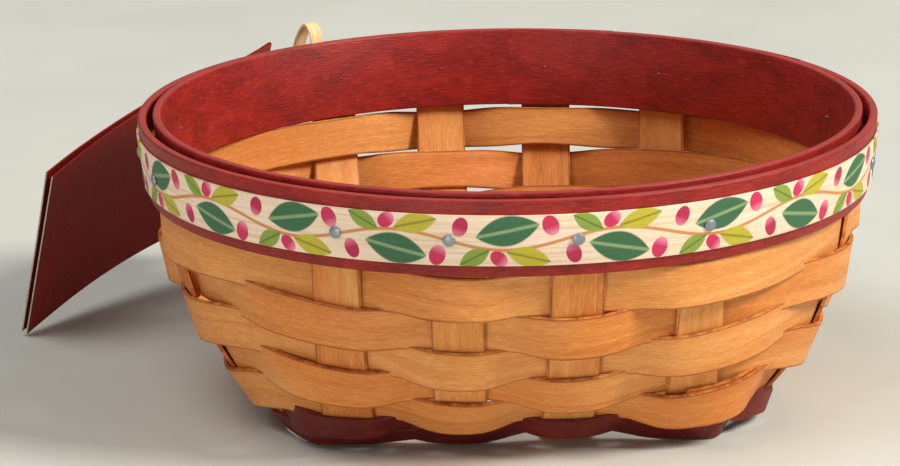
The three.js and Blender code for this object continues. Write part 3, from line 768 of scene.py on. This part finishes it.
# Point and dome as shares of the radius, with heights over the inner band and over the trim
BRAD_POINT = ((0.1, -0.45), (0.5, 0.2))
BRAD_DOME = ((0.94, 0), (1, 0.18), (0.93, 0.42), (0.7, 0.62), (0.35, 0.73), (0.06, 0.76))
brad_outline = [(BRAD_SHANK * share, -INNER_FACE + height) for share, height in BRAD_POINT]
brad_outline.append((BRAD_SHANK, OUTER_FACE))
brad_outline += [(BRAD_HEAD * share, OUTER_FACE + height) for share, height in BRAD_DOME]
brad_turns = [2 * math.pi * k / BRAD_SIDES for k in range(BRAD_SIDES)]
brad_circle = STAKE_RIM - BRAD_DROP * math.tan(BAND_TAPER)
for i, upright in enumerate(UPRIGHTS):
    theta = upright + BRAD_SHIFTS.get(i, 0)
    out = ring_point(theta, math.cos(BAND_TAPER), -math.sin(BAND_TAPER))
    tangent = Vector((math.cos(math.radians(theta)), math.sin(math.radians(theta)), 0))
    upward = out.cross(tangent)
    seat = ring_point(theta, brad_circle, TOTAL_HEIGHT - BRAD_DROP)
    rings = []
    for radius, height in brad_outline:
        middle = seat + out * height
        spokes = [tangent * math.cos(t) + upward * math.sin(t) for t in brad_turns]
        rings.append([middle + spoke * radius for spoke in spokes])
    points, faces = loft(rings)
    coords = [(0, 0)] * len(points)
    nodes = [f"brad_{i + 1:02d}"]
    piece = make_piece(f"nail_{i + 1:02d}", points, faces, coords, brad_steel, "basket", nodes)

# Hang tag: one card folded at its upper end and a little curled, its back leaf bowed away
CARD_LENGTH = 89.0
CARD_WIDTH = 51.0
CARD_THICKNESS = 0.4
CARD_CORNER = Vector((-121.9, 51.9, 0.8))
CARD_RUN = Vector((0.619, 0.766, 0.205))
CARD_SIDE = Vector((9.9, -18.6, 46.5))
FOLD_ROOM = 1.0
LEAF_GAP = 0.7
LEAF_BOW = 1.2
LEAF_DRIFT = 0.5
CARD_CURL = 3.0
HOLE_INSET = 6.0
HOLE_RADIUS = 2.4
HOLE_SIDES = 24
HOLE_MARGIN = 0.6
HOLE_SHARE = 0.97
WELD = 0.001
CUT_REACH = 0.01
LEAF_STEPS = 22
FOLD_STEPS = 6
CARD_ROWS = 12
card_along = CARD_RUN.normalized()
card_up = (CARD_SIDE - card_along * CARD_SIDE.dot(card_along)).normalized()
card_out = card_up.cross(card_along)
card_middle = CARD_CORNER + card_up * CARD_WIDTH / 2
hole_centre = card_middle + card_along * (CARD_LENGTH - HOLE_INSET)
leaf_length = CARD_LENGTH - FOLD_ROOM
fold_length = math.pi * LEAF_GAP / 2
sheet_length = 2 * leaf_length + fold_length


def card_line(s):
    """Middle line and face direction of the folded card, at a length along the unfolded sheet."""
    bow_length = CARD_LENGTH - 2 * HOLE_INSET
    if s <= leaf_length:
        turn = 0.0
        run = s
        out = -LEAF_GAP / 2
    elif s < leaf_length + fold_length:
        turn = math.pi * (s - leaf_length) / fold_length
        run = leaf_length + math.sin(turn) * LEAF_GAP / 2
        out = -math.cos(turn) * LEAF_GAP / 2
    else:
        run = sheet_length - s
        bend = math.pi / 2 * clamp(1 - run / bow_length)
        out = LEAF_GAP / 2 + LEAF_BOW * math.sin(bend)
        turn = math.pi
    out += CARD_CURL * math.sin(math.pi * clamp(run / bow_length))
    centre = card_middle + card_along * run + card_out * out
    return centre, card_along * math.sin(turn) - card_out * math.cos(turn)


def unfolded_card():
    """Points and triangles of the flat sheet with its two holes."""
    half = CARD_WIDTH / 2
    spots = [Vector(p) for p in ((0, -half), (sheet_length, -half), (sheet_length, half), (0, half))]
    edges = [(0, 1), (1, 2), (2, 3), (3, 0)]
    near = CARD_LENGTH - HOLE_INSET
    far = sheet_length - CARD_LENGTH + HOLE_INSET
    middles = [Vector((near, 0)), Vector((far, 0))]
    for middle in middles:
        base = len(spots)
        for k in range(HOLE_SIDES):
            turn = 2 * math.pi * k / HOLE_SIDES
            spots.append(middle + Vector((math.cos(turn), math.sin(turn))) * HOLE_RADIUS)
            edges.append((base + k, base + (k + 1) % HOLE_SIDES))
    lengths = [leaf_length * k / LEAF_STEPS for k in range(LEAF_STEPS + 1)]
    lengths += [leaf_length + fold_length * k / FOLD_STEPS for k in range(1, FOLD_STEPS)]
    lengths += [sheet_length - s for s in lengths[:LEAF_STEPS + 1]]
    for s in lengths:
        for k in range(CARD_ROWS + 1):
            spot = Vector((s, CARD_WIDTH * (k / CARD_ROWS - 0.5)))
            if min((spot - middle).length for middle in middles) > HOLE_RADIUS + HOLE_MARGIN:
                spots.append(spot)
    filled = geometry.delaunay_2d_cdt(spots, edges, [], 1, WELD)
    spots = filled[0]
    triangles = filled[2]
    kept = []
    for triangle in triangles:
        centre = sum((spots[k] for k in triangle), Vector((0, 0))) / 3
        if min((centre - middle).length for middle in middles) > HOLE_RADIUS * HOLE_SHARE:
            kept.append(triangle)
    return spots, kept


def make_tag():
    spots, triangles = unfolded_card()
    count = len(spots)
    points = []
    coords = []
    for side in (1, -1):
        for spot in spots:
            centre, face = card_line(spot.x)
            behind = spot.x > leaf_length + fold_length
            lift = drift(LEAF_DRIFT, spot.x * 0.03, spot.y * 0.03, 2.5) if behind else 0
            points.append(centre + card_up * spot.y + face * (side * CARD_THICKNESS / 2 - lift))
            coords.append((spot.x + 30 * GRAIN_STRETCH, spot.y))
    faces = [tuple(t) for t in triangles]
    faces += [tuple(k + count for k in reversed(t)) for t in triangles]
    open_edges = {}
    for t in triangles:
        for a, b in ((t[0], t[1]), (t[1], t[2]), (t[2], t[0])):
            open_edges[(a, b)] = (b, a) not in open_edges
            if (b, a) in open_edges:
                open_edges[(b, a)] = False
    skins = len(faces)
    faces += [(b, a, a + count, b + count) for (a, b), free in open_edges.items() if free]
    piece = make_piece("folded_card_tag", points, faces, coords, card_face, "tag", ["hang_tag"], sharp=50)
    piece.data.materials.append(card_edge)
    free_ends = (0, sheet_length)
    for polygon in piece.data.polygons[skins:]:
        runs = [spots[k % count].x for k in polygon.vertices]
        if all(min(abs(run - end) for end in free_ends) < CUT_REACH for run in runs):
            polygon.material_index = 1


make_tag()

# Lace: tucked between the bands, over the outer band and through the card to a knot behind it
LACE_ANGLE = 212.3
LACE_WIDTH = 3.5
LACE_THICKNESS = 0.6
LACE_EDGE = 0.12
LACE_DRIFT = 0.15
LACE_TUCK = 5.0
LACE_RISE = 5.0
LACE_STEPS = 12
KNOT_RADIUS = 3.4
lace_foot = TOTAL_HEIGHT - LACE_TUCK
lace_stops = [
    ring_point(LACE_ANGLE, STAKE_RIM - LACE_TUCK * math.tan(BAND_TAPER), lace_foot),
    ring_point(LACE_ANGLE, STAKE_RIM - 2 * math.tan(BAND_TAPER), TOTAL_HEIGHT - 2),
    ring_point(LACE_ANGLE, STAKE_RIM + 0.6, TOTAL_HEIGHT + 0.6 * LACE_RISE),
    ring_point(LACE_ANGLE, STAKE_RIM + 3, TOTAL_HEIGHT + LACE_RISE),
    ring_point(LACE_ANGLE, RIM_RADIUS + 4, TOTAL_HEIGHT + 0.3 * LACE_RISE),
    ring_point(LACE_ANGLE, RIM_RADIUS + 9, TOTAL_HEIGHT - 12),
    hole_centre - card_out * 14,
    hole_centre - card_out * 6,
    hole_centre - card_out * 1.5,
    hole_centre + card_out * (KNOT_RADIUS + 1.5),
]


def smooth_route(stops, steps):
    """A smooth line through the stops, with spans spaced by the root of their length."""
    padded = [stops[0] * 2 - stops[1], *stops, stops[-1] * 2 - stops[-2]]
    route = []
    for a, b, c, d in zip(padded, padded[1:], padded[2:], padded[3:]):
        knots = [0.0]
        for first, second in ((a, b), (b, c), (c, d)):
            knots.append(knots[-1] + math.sqrt((second - first).length))
        for i in range(steps):
            t = knots[1] + (knots[2] - knots[1]) * i / steps
            ab = a.lerp(b, (t - knots[0]) / (knots[1] - knots[0]))
            bc = b.lerp(c, (t - knots[1]) / (knots[2] - knots[1]))
            cd = c.lerp(d, (t - knots[2]) / (knots[3] - knots[2]))
            near = ab.lerp(bc, (t - knots[0]) / (knots[2] - knots[0]))
            far = bc.lerp(cd, (t - knots[1]) / (knots[3] - knots[1]))
            route.append(near.lerp(far, (t - knots[1]) / (knots[2] - knots[1])))
    return [*route, stops[-1].copy()]


lace_route = smooth_route(lace_stops, LACE_STEPS)
rim_tangent = Vector((math.cos(math.radians(LACE_ANGLE)), math.sin(math.radians(LACE_ANGLE)), 0))
lace_stations = []
for i, point in enumerate(lace_route):
    heading = (lace_route[min(i + 1, len(lace_route) - 1)] - lace_route[max(i - 1, 0)]).normalized()
    across = (rim_tangent - heading * rim_tangent.dot(heading)).normalized()
    width = LACE_WIDTH + drift(LACE_DRIFT, i * 0.4, 3.3, 7.1)
    lace_stations.append((point, across, heading.cross(across), width))
lace = strip_piece(
    "split_lace", lace_stations, LACE_THICKNESS, LACE_EDGE, lace_leather,
    ["tag_lace"], 40 * GRAIN_STRETCH,
)

# Knot: the lace's end turned through itself in three lobes
KNOT_STEPS = 72
KNOT_SIDES = 10
KNOT_CORD = 1.05
KNOT_SEAT = 1.2
KNOT_SIZE = 0.72
KNOT_DEPTH = 1.6
knot_middle = hole_centre + card_out * (KNOT_RADIUS + KNOT_SEAT)
knot_line = []
for i in range(KNOT_STEPS):
    t = 2 * math.pi * i / KNOT_STEPS
    along = math.sin(t) + 2 * math.sin(2 * t)
    upward = math.cos(t) - 2 * math.cos(2 * t)
    lobes = card_along * along + card_up * upward
    knot_line.append(knot_middle + (lobes - card_out * KNOT_DEPTH * math.sin(3 * t)) * KNOT_SIZE)
knot_points = []
knot_coords = []
for i, point in enumerate(knot_line):
    heading = (knot_line[(i + 1) % KNOT_STEPS] - knot_line[i - 1]).normalized()
    side = heading.cross(card_out).normalized()
    rise = side.cross(heading)
    for k in range(KNOT_SIDES):
        turn = 2 * math.pi * k / KNOT_SIDES
        knot_points.append(point + (side * math.cos(turn) + rise * math.sin(turn)) * KNOT_CORD)
        knot_coords.append((41 * GRAIN_STRETCH + i * 0.5, 2 * turn))
knot_faces = []
for i in range(KNOT_STEPS):
    for k in range(KNOT_SIDES):
        here = i * KNOT_SIDES
        ahead = (i + 1) % KNOT_STEPS * KNOT_SIDES
        beside = (k + 1) % KNOT_SIDES
        knot_faces.append((here + k, here + beside, ahead + beside, ahead + k))
knot = make_piece("lace_knot", knot_points, knot_faces, knot_coords, lace_leather, "basket", [], sharp=60)


# Stage: a pale floor, a key lamp from the right, a wide lamp overhead and a low one in front
FLOOR_HALF = 3.0
FLOOR_DROP = 0.2 * MM
FLOOR_MOTTLE = 60 * MM
LAMP_AIM = Vector((0, 0, 0.03))
AIR_STRENGTH = 0.2


def seamless_paper():
    """Uncoated paper: flat pale grey, faintly mottled."""
    material, tree, shader = new_material("seamless_paper", roughness=0.9, specular=0.15)
    place = add_node(tree, "ShaderNodeTexCoord").outputs["Object"]
    mottle = {"Vector": place, "Scale": 1 / FLOOR_MOTTLE, "Detail": 2.0}
    mottle = add_node(tree, "ShaderNodeTexNoise", mottle).outputs["Fac"]
    tones = [(0.3, "CCCCC4"), (0.7, "D4D4CC")]
    colour = add_node(tree, "ShaderNodeValToRGB", {0: mottle}, tones).outputs[0]
    tree.links.new(colour, shader.inputs["Base Color"])
    return material


floor_mesh = bpy.data.meshes.new("studio_floor")
corners = [(x * FLOOR_HALF, y * FLOOR_HALF, -FLOOR_DROP) for x, y in ((-1, -1), (1, -1), (1, 1), (-1, 1))]
floor_mesh.from_pydata(corners, [], [(0, 1, 2, 3)])
floor_mesh.materials.append(seamless_paper())
floor = bpy.data.objects.new("studio_floor", floor_mesh)
bpy.context.collection.objects.link(floor)


def soft_lamp(name, place, size, power, tint):
    data = bpy.data.lights.new(name, "AREA")
    data.shape = "DISK"
    data.size = size
    data.energy = power
    data.color = hex_colour(tint)[:3]
    lamp = bpy.data.objects.new(name, data)
    lamp.location = place
    lamp.rotation_euler = (LAMP_AIM - Vector(place)).to_track_quat("-Z", "Y").to_euler()
    bpy.context.collection.objects.link(lamp)


# Lamps, with place and size in metres and power in watts
soft_lamp("key_right", (2.1, -0.9, 1.85), 1.0, 98, "FFFCF4")
soft_lamp("overhead", (-0.9, -0.7, 2.3), 2.0, 29, "FFFFFF")
soft_lamp("low_front", (-0.65, -1.6, 0.14), 0.26, 6, "FFFFFF")

world = bpy.data.worlds.new("studio_air")
world.use_nodes = True
air = world.node_tree.nodes["Background"]
air.inputs["Color"].default_value = hex_colour("F4F4F0")
air.inputs["Strength"].default_value = AIR_STRENGTH
scene = bpy.context.scene
scene.world = world
scene.view_settings.view_transform = "Standard"

# Camera at the photograph's angle
CAMERA_AZIMUTH = math.radians(-2)
CAMERA_ELEVATION = math.radians(14.9)
CAMERA_DISTANCE = 1.2
CAMERA_ROLL = math.radians(-0.5)
CAMERA_LENS = 196.6
CAMERA_SENSOR = 36
CAMERA_SHIFT = -0.0652
CAMERA_TARGET = Vector((0, 0, 0.0388))
back = Vector((
    math.sin(CAMERA_AZIMUTH) * math.cos(CAMERA_ELEVATION),
    -math.cos(CAMERA_AZIMUTH) * math.cos(CAMERA_ELEVATION),
    math.sin(CAMERA_ELEVATION),
))
camera_data = bpy.data.cameras.new("camera")
camera_data.sensor_width = CAMERA_SENSOR
camera_data.lens = CAMERA_LENS
camera_data.shift_x = CAMERA_SHIFT
camera = bpy.data.objects.new("camera", camera_data)
turn = (-back).to_track_quat("-Z", "Y").to_matrix() @ Matrix.Rotation(CAMERA_ROLL, 3, "Z")
camera.matrix_world = Matrix.Translation(CAMERA_TARGET + back * CAMERA_DISTANCE) @ turn.to_4x4()
bpy.context.collection.objects.link(camera)
scene.camera = camera
